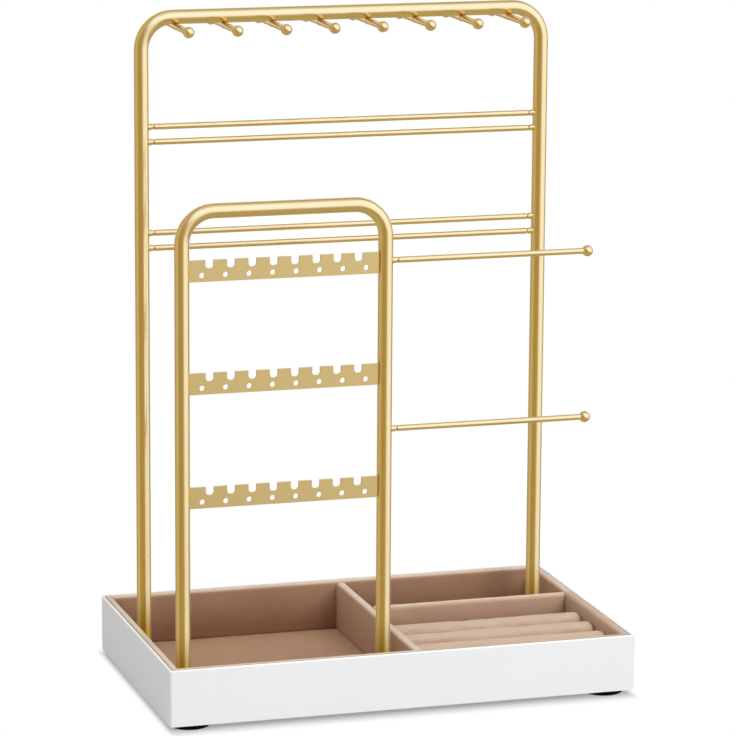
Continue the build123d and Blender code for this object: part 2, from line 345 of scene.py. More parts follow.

# %% [markdown]
# Velvet is a dense pile of short upright fibres. Seen square on, light sinks between them and
# the cloth looks deep. Seen at a slant, their sides catch light and the cloth looks pale. The
# shader's sheen gives that. Light and shade are also painted into the colour: painted shade
# darkens the cloth towards the floor, deepest low on the faces that look to the front; in the
# ring section the painted light and shade change most with the height; and the up-facing tops
# are painted pale as with full light and sheen, with some real paling where the pile opens over
# an edge. So the tone follows the height, the way the cloth faces and the section of the tray.
# A painted shadow darkens the cloth beside each wall, which draws the gap line. It is widest and
# darkest at the right wall. A broad noise shifts the tone as strokes do, and fine noises give
# the tufts and the fibre ends.

# %% Tones of the velvet
# Each tone is a pair of colours between which the strokes vary.
# The _low pairs are painted shade at the floor, to_front pairs painted shade on faces that look to
# the front, by_rings pairs painted light and shade in the ring section, and the edge pairs painted
# light and sheen on the up-facing tops.
velvet_tones = {
    "side_low": ((0.45, 0.255, 0.15), (0.53, 0.32, 0.195)),
    "side_high": ((0.57, 0.35, 0.22), (0.67, 0.425, 0.28)),
    "to_front_low": ((0.26, 0.125, 0.070), (0.31, 0.155, 0.090)),
    "to_front_high": ((0.45, 0.272, 0.175), (0.525, 0.33, 0.215)),
    "by_rings_low": ((0.30, 0.16, 0.092), (0.36, 0.20, 0.12)),
    "by_rings_high": ((0.64, 0.42, 0.29), (0.73, 0.495, 0.35)),
    "edge": ((0.80, 0.65, 0.53), (0.90, 0.76, 0.64)),
    "edge_by_rings": ((0.67, 0.50, 0.375), (0.77, 0.60, 0.47)),
}
# Painted shadow: these tones darken the cloth beside the walls into a gap line.
gap_shadow_tone = (0.52, 0.39, 0.30)
gap_shadow_reach = (0.8 * MM, 0.3 * MM)  # from a wall, where its gap line starts and where it is full
right_gap_shadow_tone = (0.36, 0.29, 0.235)
right_gap_shadow_reach = (1.3 * MM, 0.6 * MM)
sheen_tint = (1.0, 0.86, 0.72, 1.0)
hollow_share = 0.72  # brightness between the fibres, as a share of that at their ends
# Heights over which the tops take their painted light and sheen.
lit_turned_heights = (velvet_top + 8.0 * MM, velvet_top + 16.0 * MM)  # over which edges turn pale
print(len(velvet_tones), "velvet tones; the rings lie right of", round(main_high / MM, 1), "mm")

# %% Beige velvet


def beige_velvet():
    """Short-pile beige velvet, with painted shade deep inside the tray and painted light on tops.
    """
    pile = {"Specular_IOR_Level": 0.15, "Sheen_Weight": 0.35, "Sheen_Roughness": 0.35}
    material, shader, place = new_material(
        "beige_velvet", (0.50, 0.32, 0.21), 0.95, Sheen_Tint=sheen_tint, **pile
    )
    tree = place.tree
    strokes = noise(place, 14.0 * MM, detail=3.0, roughness=0.6)
    fibres = noise(place, 0.35 * MM, detail=2.0, roughness=0.7)
    tufts = noise(place, 1.1 * MM, detail=2.0)
    x, y, height = components(place)
    facing = make_node(tree, "TexCoord", output="Normal")
    back, up = components(facing)[1:]
    raised = ramp_up(height, velvet_top + 0.5 * MM, rim_level)

    def tone(name):
        """A stroked colour between the two of a tone."""
        return mix_colour(strokes, *velvet_tones[name])

    def rising(name):
        """A tone from its low pair at the floor to its high pair at the rim: painted shade below.
        """
        return mix_colour(raised, tone(name + "_low"), tone(name + "_high"))

    def beside(place, wall, reach):
        """1 close to a wall and 0 beyond the reach of the painted shadow along its gap."""
        return ramp_up(place, wall - reach[0], wall - reach[1])

    # Painted shade on faces that look to the front; the ring section has its own painted light and
    # shade.
    to_front = ramp_up(back * -1.0, 0.35, 0.85)
    # Painted light and sheen on up-facing tops, with some real paling where the pile opens over the
    # edge.
    lit_turned_top = ramp_up(height, *lit_turned_heights) * ramp_up(up, 0.30, 0.95)
    by_rings = ramp_up(x, main_high - 2.0 * MM, main_high - 0.4 * MM)
    by_rings = by_rings * (1.0 - ramp_up(y, cross_low + 0.4 * MM, cross_low + 2.0 * MM))
    upright = mix_colour(to_front, rising("side"), rising("to_front"))
    upright = mix_colour(by_rings, upright, rising("by_rings"))
    edge = mix_colour(by_rings, tone("edge"), tone("edge_by_rings"))
    colour = mix_colour(lit_turned_top, upright, edge)
    # Painted shadow along the gap beside each wall, widest and darkest at the right wall.
    gap_shadow_x = beside(abs(x), inside_x, gap_shadow_reach)
    gap_shadow_y = beside(abs(y), inside_y, gap_shadow_reach)
    colour = mix_colour(gap_shadow_x.math("MAXIMUM", gap_shadow_y), colour, gap_shadow_tone)
    right_gap_shadow = beside(x, inside_x, right_gap_shadow_reach)
    colour = mix_colour(right_gap_shadow, colour, right_gap_shadow_tone)
    fibre_ends = fibres * 0.7 + tufts * 0.3
    hollow = make_node(tree, "VectorMath", {"operation": "SCALE"}, _0=colour, Scale=hollow_share)
    connect(shader.inputs["Base Color"], mix_colour(fibre_ends, hollow, colour))
    broad = bump(shader, strokes, 0.6 * MM, 0.25)
    bump(shader, fibres * 0.6 + tufts * 0.4, 0.22 * MM, 0.75, under=broad)
    return material


velvet = beige_velvet()
print("made", velvet.name)

# %% [markdown]
# The finished pieces of the model only need their material. A table of slots says which finish
# each piece wears, and pieces of the velvet slot are left for the next steps. The boards are
# kept out of reflections, and so is the velvet later, because the legs in the photograph stay
# gold all the way down and don't mirror the brown cloth around them.

# %% Dress the rigid pieces
finishes = {
    "white_board": lacquer,
    "black_rubber": rubber,
    "gold_metal": gold,
    "brass_insert": brass,
    "zinc_steel": zinc,
}
own_finish = {f"earring_strip_{level}": strip_gold for level in ("upper", "middle", "lower")}
dressed = 0
for part in frame["record"]["subparts"]:
    finish = own_finish.get(part["node"], finishes.get(part["material_slot"]))
    if finish:
        rigid = nodes[part["node"]]
        rigid.data.materials.clear()
        rigid.data.materials.append(finish)
        rigid.visible_glossy = part["material_slot"] != "white_board"
        dressed += 1
print("dressed", dressed, "rigid pieces")

# %% [markdown]
# Each padded piece is one closed surface on a grid: one parameter runs along the piece and the
# other round its section. The same helper turns any such grid of points into a mesh, closes
# the section, caps both ends and makes the faces point outwards.

# %% Grids into closed pieces


def new_piece(name, points, faces):
    """An object at the origin from an array of points and the lists of points of its faces."""
    mesh = bpy.data.meshes.new(name)
    mesh.from_pydata(points.tolist(), [], faces)
    piece = bpy.data.objects.new(name, mesh)
    bpy.context.scene.collection.objects.link(piece)
    return piece


def shade_smooth(piece):
    """Lets the shading run smoothly over the edges of the faces."""
    polygons = piece.data.polygons
    polygons.foreach_set("use_smooth", np.ones(len(polygons), dtype=bool))


def closed_tube(name, points):
    """A mesh from a grid of points (stations, round, 3), closed round and capped at both ends.

    Four neighbours on the grid make a face, and each cap is a fan of triangles about the middle
    of the first or last ring.
    """
    stations, around, _ = points.shape
    first_middle = points[0].mean(axis=0)
    last_middle = points[-1].mean(axis=0)
    vertices = np.concatenate([points.reshape(-1, 3), [first_middle, last_middle]])
    ring = np.arange(around)
    after = (ring + 1) % around
    row = np.arange(stations - 1)[:, None] * around
    corners = [row + ring, row + after, row + around + after, row + around + ring]
    quads = np.stack(corners, axis=-1).reshape(-1, 4)
    count = stations * around
    last = count - around
    start_cap = np.stack([after, ring, np.full(around, count)], axis=-1)
    end_cap = np.stack([last + ring, last + after, np.full(around, count + 1)], axis=-1)
    piece = new_piece(name, vertices, quads.tolist() + start_cap.tolist() + end_cap.tolist())
    piece.data.validate()
    shade_smooth(piece)
    return piece


print("grids can be closed into pieces")

# %% Set a velvet piece on the stand


def set_on_stand(piece, node):
    """Dresses a new piece in velvet, ties it to the stand and hides the solid it replaces."""
    piece.data.materials.append(velvet)
    piece.visible_glossy = False
    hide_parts(node)
    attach(piece, "root")


print("pieces can be set on the stand")

# %% [markdown]
# Foam and cloth are never quite even. A few sines of different lengths, added up, give a slow
# wavering without a visible pattern. Each piece draws its own directions from its own seed, so
# that no two are alike and every run gives the same stand.

# %% Slow waves


def waves(x, y, z, seed, lengths, amplitude):
    """A smooth wavering: the mean of one sine for each length, times the amplitude.

    Each sine runs along a direction of its own, from a phase of its own, both drawn once, and
    repeats after its length in metres.
    """
    draw = np.random.default_rng(seed)
    total = np.zeros(np.broadcast(x, y, z).shape)
    for length in lengths:
        direction = draw.normal(size=3)
        direction *= 2.0 * math.pi / length / np.linalg.norm(direction)
        phase = draw.uniform(0.0, 2.0 * math.pi)
        total += np.sin(direction[0] * x + direction[1] * y + direction[2] * z + phase)
    return amplitude * total / len(lengths)


print("waves ready")

# %% [markdown]
# The ring section holds three padded bars. A roll of foam is wrapped in velvet and glued down,
# so its crown is half round, its sides draw in a little towards the floor, and its ends close in
# a soft round. The section is worked out once as a closed curve of evenly spaced points, and the
# dividers use the same curve with a smaller crown.

# %% Outline of a padded bar
arc_steps = 24
outline_points = 120


def even_steps(curve, count):
    """Points spaced evenly by length along a closed outline given as an array of points."""
    loop = np.vstack([curve, curve[:1]])
    steps = np.linalg.norm(np.diff(loop, axis=0), axis=1)
    lengths = np.concatenate([[0.0], np.cumsum(steps)])
    wanted = np.linspace(0.0, lengths[-1], count, endpoint=False)
    return np.column_stack([np.interp(wanted, lengths, axis) for axis in loop.T])


def outward(curve):
    """Unit normals of a closed outline whose points run anticlockwise.

    A normal is the step from the previous point to the next one, turned right by 90 degrees
    and divided by its length.
    """
    tangent = np.roll(curve, -1, axis=0) - np.roll(curve, 1, axis=0)
    normal = np.column_stack([tangent[:, 1], -tangent[:, 0]])
    return normal / np.linalg.norm(normal, axis=1, keepdims=True)


def padded_outline(width, height, drawn_in, foot_round, crown_radius):
    """Section of a pad on a floor, anticlockwise from the middle of its foot.

    The foot is flat, a small quarter circle turns it up into a side that leans out by the drawn-in
    amount, and quarter circles of the crown's radius turn both sides over to the top.
    """
    half = width / 2
    quarter = np.linspace(0.0, math.pi / 2, arc_steps)
    foot_half = half - drawn_in
    foot_x = foot_half - foot_round + foot_round * np.sin(quarter)
    foot_z = foot_round * (1.0 - np.cos(quarter))
    rise = np.linspace(0.0, 1.0, arc_steps)[1:-1]
    shoulder = height - crown_radius
    side_x = foot_half + drawn_in * np.sin(rise * math.pi / 2)
    side_z = foot_round + (shoulder - foot_round) * rise
    crown_x = half - crown_radius * (1.0 - np.cos(quarter))
    crown_z = shoulder + crown_radius * np.sin(quarter)
    right_x = np.concatenate([[0.0], foot_x, side_x, crown_x])
    right_z = np.concatenate([[0.0], foot_z, side_z, crown_z])
    right = np.column_stack([right_x, right_z])
    left = right[-2:0:-1] * [-1.0, 1.0]
    return even_steps(np.vstack([right, left]), outline_points)


print("padded outlines ready")

# %% [markdown]
# Foam presses its cover outwards, and the cover gives it small dents and soft swellings that no
# formula has. A short cloth simulation does the same: the pad is rebuilt in even voxels, its
# foot is held where the glue is, and a pressure inside pushes the rest out. The result becomes
# the mesh itself, so the finished piece carries no simulation.

# %% Press a pad out with cloth
cloth_frames = 20
cloth_mass = 0.0004  # of each point, in kg
cloth_pressure = 4.0


def mesh_points(mesh):
    """Positions of a mesh's points as an array (points, 3)."""
    flat = np.empty(len(mesh.vertices) * 3)
    mesh.vertices.foreach_get("co", flat)
    return flat.reshape(-1, 3)


def evaluated_mesh(piece):
    """A new mesh with the piece's modifiers in it."""
    graph = bpy.context.evaluated_depsgraph_get()
    return bpy.data.meshes.new_from_object(piece.evaluated_get(graph))


def press_out(piece, voxel, most, glued_below):
    """Lets the cloth of a closed pad swell under pressure while its foot stays glued down.

    In the end, each point's move is multiplied by the smaller of 1 and most / its length.
    """
    rebuild = piece.modifiers.new("voxels", "REMESH")
    rebuild.mode = "VOXEL"
    rebuild.voxel_size = voxel
    rebuild.use_smooth_shade = True
    mesh = evaluated_mesh(piece)
    piece.modifiers.clear()
    piece.data = mesh
    start = mesh_points(mesh)
    glued = piece.vertex_groups.new(name="glued_foot")
    glued.add(np.flatnonzero(start[:, 2] < glued_below).tolist(), 1.0, "REPLACE")
    cloth = piece.modifiers.new("cloth", "CLOTH")
    cloth.settings.vertex_group_mass = glued.name
    cloth.settings.mass = cloth_mass
    cloth.settings.use_pressure = True
    cloth.settings.uniform_pressure_force = cloth_pressure
    cloth.settings.effector_weights.gravity = 0.0
    cloth.point_cache.frame_start = 1
    cloth.point_cache.frame_end = cloth_frames
    for moment in range(1, cloth_frames + 1):
        bpy.context.scene.frame_set(moment)
    moved = evaluated_mesh(piece)
    move = mesh_points(moved) - start
    reach = np.linalg.norm(move, axis=1, keepdims=True)
    furthest, average = [round(float(length) / MM, 2) for length in (reach.max(), reach.mean())]
    print("  cloth moved by up to", furthest, "mm, on average", average)
    end = start + move * np.minimum(1.0, most / np.maximum(reach, 1e-9))
    piece.modifiers.clear()
    mesh.vertices.foreach_set("co", end.reshape(-1))
    mesh.update()
    bpy.data.meshes.remove(moved)
    bpy.context.scene.frame_set(1)
    finer = piece.modifiers.new("finer", "SUBSURF")
    finer.levels = finer.render_levels = 1


print("cloth ready")

# %% [markdown]
# A bar is its outline carried along X. Near both ends the outline shrinks inwards as a ball's
# would, and two smaller rings with a slight bulge close the end. Slow waves run over the
# surface, and then the cloth is pressed out.

# %% Ends of a ring bar
bar_foot_drawn_in = 0.5 * MM
bar_foot_round = 1.2 * MM
bar_end_round = 2.4 * MM
bar_end_bulge = 0.25 * MM
bar_closing = np.array([0.35, 0.7])  # sizes of an end's last rings, as shares of its outline
bar_end_middle = 0.45  # height of an end's middle, as a share of the bar's height


def bar_stations(length):
    """Places along a bar and how far the outline moves inwards at each of them.

    The inset is r - r sin(a) where the place is r - r cos(a), for an angle a from 0 to 90
    degrees and the end's round r.
    """
    turn = np.linspace(0.0, math.pi / 2, 14)
    near_end = bar_end_round * (1.0 - np.cos(turn))
    end_inset = bar_end_round * (1.0 - np.sin(turn))
    middle = np.linspace(bar_end_round, length - bar_end_round, 90)[1:-1]
    along = np.concatenate([near_end, middle, length - near_end[::-1]])
    inset = np.concatenate([end_inset, np.zeros(len(middle)), end_inset[::-1]])
    return along, inset


def close_ends(along, across, up, middle_up):
    """Adds the smaller rings before the first station and after the last one.

    Each is the end station's ring, sized by a share k about the end's middle, and stands out
    by the bulge times 1 - k^2.
    """
    start_share, end_share = bar_closing[:, None], bar_closing[::-1, None]
    start_up = middle_up + (up[0] - middle_up) * start_share
    end_up = middle_up + (up[-1] - middle_up) * end_share
    across = np.vstack([across[0] * start_share, across, across[-1] * end_share])
    up = np.vstack([start_up, up, end_up])
    bulge = bar_end_bulge * (1 - bar_closing**2)
    along = np.concatenate([along[0] - bulge, along, along[-1] + bulge[::-1]])
    return along, across, up


print("a bar's ends are rounded by", round(bar_end_round / MM, 1), "mm")

# %% Ring bars
foam_waves = (31 * MM, 17 * MM, 9 * MM)
foam_swell = 0.35 * MM
foam_free_height = 4 * MM  # above the foot, where the waves reach their full height
cloth_voxel = 0.8 * MM
most_swell = 0.4 * MM
glue_height = 1.2 * MM


def ring_bar(name, node, seed):
    """A padded bar along X in place of the model's solid.

    A point is the outline's point less the station's inset times the outline's normal. The
    waves then move it sideways on the sides and down on the crown, but not at the foot.
    """
    low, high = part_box(node)
    length, width, height = [high[axis] - low[axis] for axis in range(3)]
    outline = padded_outline(width, height, bar_foot_drawn_in, bar_foot_round, width / 2)
    normal = outward(outline)
    along, inset = bar_stations(length)
    across = outline[None, :, 0] - inset[:, None] * normal[None, :, 0]
    up = np.maximum(outline[None, :, 1] - inset[:, None] * normal[None, :, 1], 0.0)
    along, across, up = close_ends(along, across, up, height * bar_end_middle)
    x = low[0] + bar_end_bulge + along * (length - 2 * bar_end_bulge) / length
    x = np.broadcast_to(x[:, None], across.shape)
    y = (low[1] + high[1]) / 2 + across
    z = low[2] + up
    swell = waves(x, y, z, seed, foam_waves, foam_swell)
    lift = np.clip(up / foam_free_height, 0.0, 1.0)
    sideways = np.clip(np.abs(across) / (width / 2), 0.0, 1.0)
    y = y + swell * lift * sideways * np.sign(across)
    z = z - np.abs(swell) * lift * (1.0 - sideways)
    piece = closed_tube(name, np.stack([x, y, z], axis=-1))
    press_out(piece, cloth_voxel, most_swell, low[2] + glue_height)
    set_on_stand(piece, node)
    return piece


for seed, row in enumerate(("rear", "middle", "front"), start=1):
    bar = ring_bar(f"velvet_ring_bar_{row}", f"ring_bar_{row}", seed)
    print(bar.name, len(bar.data.polygons), "faces")

# %% [markdown]
# Velvet-covered boards line the walls. Their inner top edge is round and soft, and where two
# boards meet in a corner, the cloth of each is turned under, which leaves a fine valley along
# the mitre. The section is a rounded rectangle carried along the wall. Each point is squeezed
# towards the board's middle the more, the further it lies from the wall, so that both ends are
# cut at 45 degrees. The cover is thin and glued to a board, so small waves are enough and no
# cloth is pressed out.

# %% Section and stations of a lining
lining_outer_round = 0.8 * MM
lining_inner_round = 2.4 * MM
lining_outline_points = 130
tuck = 0.5 * MM  # how far the cloth turns under at a mitre
fine_until = 3.0  # mm from the mitre up to which the stations lie closer


def board_outline(thickness, height, outer_round, inner_round):
    """Section of an upright board, anticlockwise from the outer foot: (inward, up).

    The sides rise straight from the foot, and a quarter circle turns each over to the top.
    """
    quarter = np.linspace(0.0, math.pi / 2, 20)
    inner_x = thickness - inner_round + inner_round * np.cos(quarter)
    inner_z = height - inner_round + inner_round * np.sin(quarter)
    outer_x = outer_round - outer_round * np.sin(quarter)
    outer_z = height - outer_round + outer_round * np.cos(quarter)
    inward = np.concatenate([[0.0, thickness], inner_x, outer_x])
    up = np.concatenate([[0.0, 0.0], inner_z, outer_z])
    return even_steps(np.column_stack([inward, up]), lining_outline_points)


def mitred_stations(length):
    """Shares of the half length, from -1 to 1, and how far the cloth is tucked in at each.

    The tuck is r - sqrt(r^2 - (r - t)^2) within r of the mitre, where t is the distance from it
    and r the depth of the tuck.
    """
    near_end = np.geomspace(0.02, fine_until, 14) * MM
    middle = np.linspace(fine_until * MM, length / 2, 60)[1:]
    from_end = np.concatenate([[0.0], near_end, middle])
    share = 1.0 - from_end / (length / 2)
    covered = np.maximum(tuck - from_end, 0.0)
    tucked = tuck - np.sqrt(np.maximum(tuck**2 - covered**2, 0.0))
    return np.concatenate([-share, share[-2::-1]]), np.concatenate([tucked, tucked[-2::-1]])


print("the cloth turns under by", round(tuck / MM, 1), "mm at a mitre")

# %% Linings
proud = 0.35 * MM  # how far the loose cloth on a lining's top stands above its board
crown_depth = 1.0 * MM  # from the top down, where the tuck and the waves lower the crown
board_waves = (37 * MM, 19 * MM)
cover_sag = 0.16 * MM
cover_free_height = 3 * MM  # above the foot, where a cover's waves reach their full depth


def lining(side, seed):
    """A padded board against one wall, in place of the model's solid.

    At share s of its length, a point that lies d inwards stands at s times (half length - d).
    """
    node = f"lining_{side}"
    low, high = [Vector(corner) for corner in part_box(node)]
    along_x = side in ("front", "back")
    length = (high.x - low.x) if along_x else (high.y - low.y)
    height = high.z - low.z + proud
    outline = board_outline(lining_thickness, height, lining_outer_round, lining_inner_round)
    normal = outward(outline)
    share, tucked = mitred_stations(length)
    inner = np.clip(outline[:, 0] / (0.5 * lining_thickness), 0.0, 1.0)
    crown = np.clip((outline[:, 1] - height + crown_depth) / crown_depth, 0.0, 1.0)
    depth = outline[None, :, 0] - tucked[:, None] * (normal[:, 0] * inner)[None, :]
    up = outline[None, :, 1] - tucked[:, None] * (normal[:, 1] * crown)[None, :]
    run = share[:, None] * (length / 2 - depth)
    pad = waves(run, depth, up, seed, board_waves, cover_sag)
    free = (inner * np.clip(outline[:, 1] / cover_free_height, 0.0, 1.0))[None, :]
    depth = depth - np.abs(pad) * free * np.maximum(normal[:, 0], 0.0)[None, :]
    up = up - np.abs(pad) * np.maximum(normal[:, 1], 0.0)[None, :] * crown[None, :]
    x, y = {
        "front": (run, low.y + depth),
        "back": (-run, high.y - depth),
        "left": (low.x + depth, -run),
        "right": (high.x - depth, run),
    }[side]
    piece = closed_tube(f"velvet_lining_{side}", np.stack([x, y, low.z + up], axis=-1))
    set_on_stand(piece, node)
    return piece


for seed, side in enumerate(("front", "back", "left", "right"), start=11):
    board = lining(side, seed)
    print(board.name, len(board.data.polygons), "faces")

# %% [markdown]
# Two partitions stand on the velvet between the linings, one from front to back and one to its
# right. Each is a thin board with its cover pulled over the top, so the bars' outline serves
# with a smaller crown, and the same small waves keep the cover from looking like a machined
# face. Where the cover meets the floor it stays straight, because it is glued there.

# %% Dividers
divider_rounds = (0.15 * MM, 0.4 * MM, 2.0 * MM)  # drawn in, foot's round, crown's radius
divider_waves = (33 * MM, 15 * MM)
station_length = 1.5 * MM


def divider(name, node, along_x, seed):
    """A thin padded partition with a softly rounded top, in place of the model's solid.

    Every station has the same outline, and the waves only draw its points inwards and down.
    """
    low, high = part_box(node)
    axis = 0 if along_x else 1
    length = high[axis] - low[axis]
    thickness = high[1 - axis] - low[1 - axis]
    height = high[2] - low[2]
    outline = padded_outline(thickness, height, *divider_rounds)
    stations = max(12, int(length / station_length))
    run = np.linspace(low[axis], high[axis], stations)[:, None]
    across = np.broadcast_to(outline[None, :, 0], (stations, len(outline)))
    up = np.broadcast_to(outline[None, :, 1], across.shape)
    pad = np.abs(waves(run, across, up, seed, divider_waves, cover_sag))
    free = np.clip(up / cover_free_height, 0.0, 1.0)
    across = across - np.sign(across) * pad * free * (np.abs(across) / (thickness / 2))
    up = up - pad * free * (1.0 - np.abs(across) / (thickness / 2))
    run = np.broadcast_to(run, across.shape)
    middle = (low[1 - axis] + high[1 - axis]) / 2
    if along_x:
        points = np.stack([run, middle + across, low[2] + up], axis=-1)
    else:
        points = np.stack([middle - across, run, low[2] + up], axis=-1)
    piece = closed_tube(name, points)
    set_on_stand(piece, node)
    return piece


for name, along_x, seed in (("main_divider", False, 21), ("cross_divider", True, 22)):
    wall = divider(f"velvet_{name}", name, along_x, seed)
    print(wall.name, len(wall.data.polygons), "faces")

# %% [markdown]
# The tray's floor is one sheet of velvet, glued down on the panel before the padded boards go
# in, with a hole punched for each leg. It is a grid whose lines crowd together along the
# boards, so that it can dip there as a pressed edge does. Cells inside a hole are left out, and
# the grid points next to it move onto its circle. A Solidify modifier gives the sheet its
# thickness.

# %% Holes for the legs
hole_clearance = 0.3 * MM
tube_front, tube_back = span("necklace_frame", 1)
leg_radius = (tube_back - tube_front) / 2
hole_radius = leg_radius + hole_clearance
legs = []
for node in ("necklace_frame", "earring_frame"):
    low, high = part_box(node)
    leg_y = (low[1] + high[1]) / 2
    legs += [(low[0] + leg_radius, leg_y), (high[0] - leg_radius, leg_y)]
print(len(legs), "leg holes of", round(2 * hole_radius / MM, 1), "mm")

# %% Grid of the velvet floor
cell = 0.9 * MM
beside_board = np.array([0.0, 0.25, 0.5, 0.8, 1.2]) * MM  # of the finer lines from a board
line_gap = 0.3 * MM  # the least between an even line and a finer one
snap_within = 0.47 * MM  # a grid point this near to a hole's circle moves onto it


def crowded(start, stop, lines):
    """Even grid lines from start to stop, with finer ones to one side of the given places."""
    even = np.linspace(start, stop, int(round((stop - start) / cell)) + 1)
    close = np.concatenate([line + sign * beside_board for line, sign in lines])
    kept = even[np.min(np.abs(even[:, None] - close[None, :]), axis=1) > line_gap]
    return np.unique(np.concatenate([[start, stop], kept, close]))


def fit_holes(grid_x, grid_y):
    """Moves grid points near a hole onto its circle and says which points lie inside one.

    A moved point's offset from the leg is multiplied by the hole's radius over its length.
    """
    hidden = np.zeros(grid_x.shape, dtype=bool)
    for leg_x, leg_y in legs:
        off_x, off_y = grid_x - leg_x, grid_y - leg_y
        radius = np.hypot(off_x, off_y)
        snapped = np.abs(radius - hole_radius) < snap_within
        factor = np.where(snapped, hole_radius / np.maximum(radius, 1e-9), 1.0)
        grid_x, grid_y = leg_x + off_x * factor, leg_y + off_y * factor
        hidden |= np.hypot(grid_x - leg_x, grid_y - leg_y) < hole_radius - 0.01 * MM
    return grid_x, grid_y, hidden


print("the floor's cells are", round(cell / MM, 1), "mm wide")

# %% Velvet floor
pressed = 0.45 * MM  # depth of the dip along a board
pressed_width = 0.55 * MM
punched = 0.35 * MM  # depth of the dip round a hole
punched_width = 0.8 * MM
floor_waves = (43 * MM, 21 * MM, 12 * MM)
floor_ripple = 0.12 * MM
under_gap = 0.15 * MM  # kept under the deepest dip, for the ripple and a gap over the panel
far = 1.0  # a distance at which nothing dips


def nearest(grid, *lines):
    """Distance of each grid point from the nearest of some lines."""
    return np.min([np.abs(grid - line) for line in lines], axis=0)


def dips(grid_x, grid_y):
    """How far the velvet is pressed down along the boards and round the holes.

    A dip is its depth times exp(-(distance / width)^2), and the deepest one counts.
    """
    dip = np.zeros(grid_x.shape)
    for distance in (
        nearest(grid_x, left_face, -left_face),
        nearest(grid_y, front_face, -front_face),
        nearest(grid_x, main_low, main_high),
        np.where(grid_x > main_high, nearest(grid_y, cross_low, cross_high), far),
    ):
        dip = np.maximum(dip, pressed * np.exp(-((distance / pressed_width) ** 2)))
    for leg_x, leg_y in legs:
        distance = np.hypot(grid_x - leg_x, grid_y - leg_y) - hole_radius
        dip = np.maximum(dip, punched * np.exp(-((distance / punched_width) ** 2)))
    return dip


def floor_sheet(name, node):
    """The velvet sheet: a grid with pressed edges and a round hole for each leg."""
    low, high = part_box(node)
    lines_x = ((left_face, 1), (-left_face, -1), (main_low, -1), (main_high, 1))
    lines_y = ((front_face, 1), (-front_face, -1), (cross_low, -1), (cross_high, 1))
    x = crowded(low[0], high[0], lines_x)
    y = crowded(low[1], high[1], lines_y)
    grid_x, grid_y, hidden = fit_holes(*np.meshgrid(x, y))
    ripple = np.abs(waves(grid_x, grid_y, 0.0 * grid_x, 31, floor_waves, floor_ripple))
    grid_z = high[2] - dips(grid_x, grid_y) - ripple
    rows, columns = grid_x.shape
    index = np.arange(rows * columns).reshape(rows, columns)
    corners = [index[:-1, :-1], index[:-1, 1:], index[1:, 1:], index[1:, :-1]]
    cells = np.stack(corners, axis=-1).reshape(-1, 4)
    cells = cells[~hidden.reshape(-1)[cells].any(axis=1)]
    used, packed = np.unique(cells, return_inverse=True)
    points = np.stack([grid_x, grid_y, grid_z], axis=-1).reshape(-1, 3)[used]
    piece = new_piece(name, points, packed.reshape(-1, 4).tolist())
    shade_smooth(piece)
    thickness = piece.modifiers.new("thickness", "SOLIDIFY")
    thickness.thickness = high[2] - low[2] - pressed - under_gap
    thickness.offset = -1.0
    set_on_stand(piece, node)
    return piece


sheet = floor_sheet("velvet_floor_sheet", "velvet_floor")
print(sheet.name, len(sheet.data.polygons), "faces and", len(legs), "leg holes")

# %% [markdown]
# The studio floor is white paper, as in a catalogue photograph. To the camera it fades to pure
# white a little way from the stand, so that only the soft shadow at its foot shows. Light that
# falls on it bounces back as from real paper. Reflections look through it to the sky, so that
# the metal doesn't pick up a hard horizon.

# %% Studio floor
floor_half = 3.0
side_margin = 2.2 * MM  # how far inside the tray's sides the fading starts there
side_haste = 2.0  # how many times faster it fades at the sides than in front
fade_from, fade_to = 0.5 * MM, 10.0 * MM
white = (1.0, 1.0, 1.0, 1.0)


def studio_floor():
    """A wide white floor that keeps the stand's shadow and fades to white for the camera.

    The fading follows the distance from the tray, sqrt(beside^2 + before^2).
    """
    low, high = -floor_half, floor_half
    corners = np.array([(low, low, 0.0), (high, low, 0.0), (high, high, 0.0), (low, high, 0.0)])
    piece = new_piece("studio_floor", corners, [(0, 1, 2, 3)])
    material = bpy.data.materials.new("white_studio_floor")
    material.use_nodes = True
    tree = material.node_tree
    tree.nodes.clear()
    camera_ray = make_node(tree, "LightPath", output="Is Camera Ray")
    glossy_ray = make_node(tree, "LightPath", output="Is Glossy Ray")
    x, y = components(make_node(tree, "TexCoord", output="Object"))[:2]
    beside = (abs(x) - (cad_high[0] - side_margin)).math("MAXIMUM", 0.0) * side_haste
    before = (abs(y) - cad_high[1]).math("MAXIMUM", 0.0)
    faded = ramp_up((beside * beside + before * before) ** 0.5, fade_from, fade_to)
    bouncing = make_node(tree, "BsdfDiffuse", Color=(0.80, 0.80, 0.80, 1.0))
    paper = make_node(tree, "BsdfDiffuse", Color=(0.50, 0.50, 0.50, 1.0))
    glow = make_node(tree, "Emission", Color=white, Strength=0.28)
    blank = make_node(tree, "Emission", Color=white, Strength=1.0)
    clear = make_node(tree, "BsdfTransparent")
    near = make_node(tree, "AddShader", _0=paper, _1=glow)
    shown = make_node(tree, "MixShader", _0=faded, _1=near, _2=blank)
    seen = make_node(tree, "MixShader", _0=camera_ray, _1=bouncing, _2=shown)
    mirrored = make_node(tree, "MixShader", _0=glossy_ray, _1=seen, _2=clear)
    make_node(tree, "OutputMaterial", Surface=mirrored)
    piece.data.materials.append(material)
    return piece


print("made", studio_floor().name)

# %% [markdown]
# To the camera, the sky is pure white. The polished metal needs light and dark shapes to
# reflect, or it would look flat. For reflections alone, the sky is therefore painted by
# direction: a tall softbox at the right that reaches overhead, a weaker panel at the left, a
# dark screen round the camera, a white backdrop behind the stand that brightens the rim at a
# glancing angle, and a dim warm room elsewhere. Angles are in degrees, from the camera to the
# right, and heights are the upward part of a direction.

